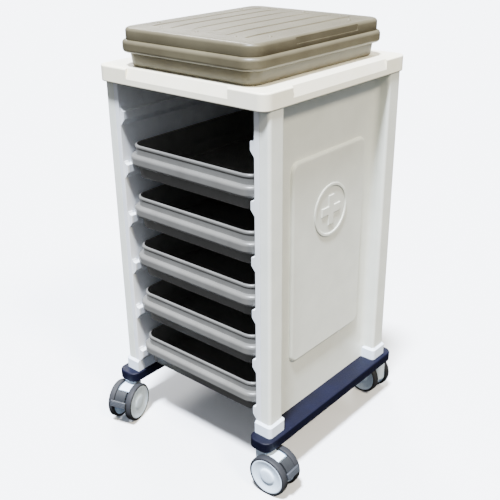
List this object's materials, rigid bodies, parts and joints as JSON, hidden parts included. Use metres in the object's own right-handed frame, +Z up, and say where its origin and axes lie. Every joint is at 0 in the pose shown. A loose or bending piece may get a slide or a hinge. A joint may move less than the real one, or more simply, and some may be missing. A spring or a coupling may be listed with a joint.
{
  "type": "ward tray cart",
  "caption": "Wheeled cabinet cart for ward medication: sliding trays in an open front, raised side panels, base rails, braked twin-wheel casters and a lidded tray on top.",
  "frame": {"origin": "on the floor, under the middle of the cart's outline with its casters as stored", "axes": "+Z up; -Y is the open front with the trays; +X is the right-hand side seen from the front"},
  "size_m": [0.6215, 0.6591, 1.018],
  "materials": {
    "white_shell": "moulded white plastic, fine satin grain",
    "white_liner": "moulded white plastic, satin",
    "navy_plastic": "grained navy plastic",
    "grey_plastic": "satin grey plastic",
    "warm_grey_plastic": "satin warm grey plastic",
    "white_caster": "smooth white nylon",
    "grey_rubber": "grey thermoplastic rubber",
    "dark_grey_plastic": "satin dark grey nylon",
    "charcoal_plastic": "moulded charcoal plastic, satin",
    "steel": "zinc plated steel"
  },
  "bodies": {
    "cabinet": {"worktop": "white_shell", "right_shell": "white_shell", "left_shell": "white_shell", "right_liner": "white_liner", "left_liner": "white_liner", "right_runners": "white_liner", "left_runners": "white_liner", "back_panel": "charcoal_plastic", "back_screws": "steel", "right_rail": "navy_plastic", "left_rail": "navy_plastic", "rear_member": "navy_plastic", "foot_front_right": "white_shell", "foot_front_left": "white_shell", "foot_rear_right": "white_shell", "foot_rear_left": "white_shell", "foot_bolts": "steel", "caster_front_right_stem": "steel", "caster_front_left_stem": "steel", "caster_rear_right_stem": "steel", "caster_rear_left_stem": "steel"},
    "swivel_front_right": {"caster_front_right_hood": "white_caster", "caster_front_right_axle": "steel"},
    "wheel_front_right_a": {"caster_front_right_tyre_a": "grey_rubber", "caster_front_right_hub_a": "white_caster"},
    "wheel_front_right_b": {"caster_front_right_tyre_b": "grey_rubber", "caster_front_right_hub_b": "white_caster"},
    "pedal_front_right": {"caster_front_right_pedal": "dark_grey_plastic", "caster_front_right_tread": "dark_grey_plastic"},
    "swivel_front_left": {"caster_front_left_hood": "white_caster", "caster_front_left_axle": "steel"},
    "wheel_front_left_a": {"caster_front_left_tyre_a": "grey_rubber", "caster_front_left_hub_a": "white_caster"},
    "wheel_front_left_b": {"caster_front_left_tyre_b": "grey_rubber", "caster_front_left_hub_b": "white_caster"},
    "pedal_front_left": {"caster_front_left_pedal": "dark_grey_plastic", "caster_front_left_tread": "dark_grey_plastic"},
    "swivel_rear_right": {"caster_rear_right_hood": "white_caster", "caster_rear_right_axle": "steel"},
    "wheel_rear_right_a": {"caster_rear_right_tyre_a": "grey_rubber", "caster_rear_right_hub_a": "white_caster"},
    "wheel_rear_right_b": {"caster_rear_right_tyre_b": "grey_rubber", "caster_rear_right_hub_b": "white_caster"},
    "pedal_rear_right": {"caster_rear_right_pedal": "dark_grey_plastic", "caster_rear_right_tread": "dark_grey_plastic"},
    "swivel_rear_left": {"caster_rear_left_hood": "white_caster", "caster_rear_left_axle": "steel"},
    "wheel_rear_left_a": {"caster_rear_left_tyre_a": "grey_rubber", "caster_rear_left_hub_a": "white_caster"},
    "wheel_rear_left_b": {"caster_rear_left_tyre_b": "grey_rubber", "caster_rear_left_hub_b": "white_caster"},
    "pedal_rear_left": {"caster_rear_left_pedal": "dark_grey_plastic", "caster_rear_left_tread": "dark_grey_plastic"},
    "tray_1": {"tray_1": "grey_plastic"},
    "tray_2": {"tray_2": "grey_plastic"},
    "tray_3": {"tray_3": "grey_plastic"},
    "tray_4": {"tray_4": "grey_plastic"},
    "tray_5": {"tray_5": "grey_plastic"},
    "top_tray": {"top_tray": "warm_grey_plastic"},
    "tray_lid": {"tray_lid": "warm_grey_plastic"}
  },
  "joints": [
    {"name": "swivel_front_right", "type": "hinge", "parent": "cabinet", "child": "swivel_front_right", "pos_m": [0.227, -0.245, 0.1], "axis": [0, 0, 1], "continuous": true},
    {"name": "wheel_front_right_a", "type": "hinge", "parent": "swivel_front_right", "child": "wheel_front_right_a", "pos_m": [0.25696, -0.24354, 0.05], "axis": [-0.0489, 0.9988, 0], "continuous": true},
    {"name": "wheel_front_right_b", "type": "hinge", "parent": "swivel_front_right", "child": "wheel_front_right_b", "pos_m": [0.25696, -0.24354, 0.05], "axis": [-0.0489, 0.9988, 0], "continuous": true},
    {"name": "brake_front_right", "type": "hinge", "parent": "swivel_front_right", "child": "pedal_front_right", "pos_m": [0.25696, -0.24354, 0.05], "axis": [-0.0489, 0.9988, 0], "range_deg": [0, 12]},
    {"name": "swivel_front_left", "type": "hinge", "parent": "cabinet", "child": "swivel_front_left", "pos_m": [-0.227, -0.245, 0.1], "axis": [0, 0, 1], "continuous": true},
    {"name": "wheel_front_left_a", "type": "hinge", "parent": "swivel_front_left", "child": "wheel_front_left_a", "pos_m": [-0.21818, -0.27367, 0.05], "axis": [0.9558, 0.294, 0], "continuous": true},
    {"name": "wheel_front_left_b", "type": "hinge", "parent": "swivel_front_left", "child": "wheel_front_left_b", "pos_m": [-0.21818, -0.27367, 0.05], "axis": [0.9558, 0.294, 0], "continuous": true},
    {"name": "brake_front_left", "type": "hinge", "parent": "swivel_front_left", "child": "pedal_front_left", "pos_m": [-0.21818, -0.27367, 0.05], "axis": [0.9558, 0.294, 0], "range_deg": [0, 12]},
    {"name": "swivel_rear_right", "type": "hinge", "parent": "cabinet", "child": "swivel_rear_right", "pos_m": [0.227, 0.245, 0.1], "axis": [0, 0, 1], "continuous": true},
    {"name": "wheel_rear_right_a", "type": "hinge", "parent": "swivel_rear_right", "child": "wheel_rear_right_a", "pos_m": [0.19711, 0.24762, 0.05], "axis": [-0.0872, -0.9962, 0], "continuous": true},
    {"name": "wheel_rear_right_b", "type": "hinge", "parent": "swivel_rear_right", "child": "wheel_rear_right_b", "pos_m": [0.19711, 0.24762, 0.05], "axis": [-0.0872, -0.9962, 0], "continuous": true},
    {"name": "brake_rear_right", "type": "hinge", "parent": "swivel_rear_right", "child": "pedal_rear_right", "pos_m": [0.19711, 0.24762, 0.05], "axis": [-0.0872, -0.9962, 0], "range_deg": [0, 12]},
    {"name": "swivel_rear_left", "type": "hinge", "parent": "cabinet", "child": "swivel_rear_left", "pos_m": [-0.227, 0.245, 0.1], "axis": [0, 0, 1], "continuous": true},
    {"name": "wheel_rear_left_a", "type": "hinge", "parent": "swivel_rear_left", "child": "wheel_rear_left_a", "pos_m": [-0.24821, 0.26621, 0.05], "axis": [-0.7071, -0.7071, 0], "continuous": true},
    {"name": "wheel_rear_left_b", "type": "hinge", "parent": "swivel_rear_left", "child": "wheel_rear_left_b", "pos_m": [-0.24821, 0.26621, 0.05], "axis": [-0.7071, -0.7071, 0], "continuous": true},
    {"name": "brake_rear_left", "type": "hinge", "parent": "swivel_rear_left", "child": "pedal_rear_left", "pos_m": [-0.24821, 0.26621, 0.05], "axis": [-0.7071, -0.7071, 0], "range_deg": [0, 12]},
    {"name": "slide_tray_1", "type": "slide", "parent": "cabinet", "child": "tray_1", "axis": [0, -1, 0], "range_m": [0, 0.38]},
    {"name": "slide_tray_2", "type": "slide", "parent": "cabinet", "child": "tray_2", "axis": [0, -1, 0], "range_m": [0, 0.38]},
    {"name": "slide_tray_3", "type": "slide", "parent": "cabinet", "child": "tray_3", "axis": [0, -1, 0], "range_m": [0, 0.38]},
    {"name": "slide_tray_4", "type": "slide", "parent": "cabinet", "child": "tray_4", "axis": [0, -1, 0], "range_m": [0, 0.38]},
    {"name": "slide_tray_5", "type": "slide", "parent": "cabinet", "child": "tray_5", "axis": [0, -1, 0], "range_m": [0, 0.38]},
    {"name": "lift_top_tray", "type": "slide", "parent": "cabinet", "child": "top_tray", "axis": [0, 0, 1], "range_m": [0, 0.15]},
    {"name": "lift_lid", "type": "slide", "parent": "top_tray", "child": "tray_lid", "axis": [0, 0, 1], "range_m": [0, 0.12]}
  ]
}
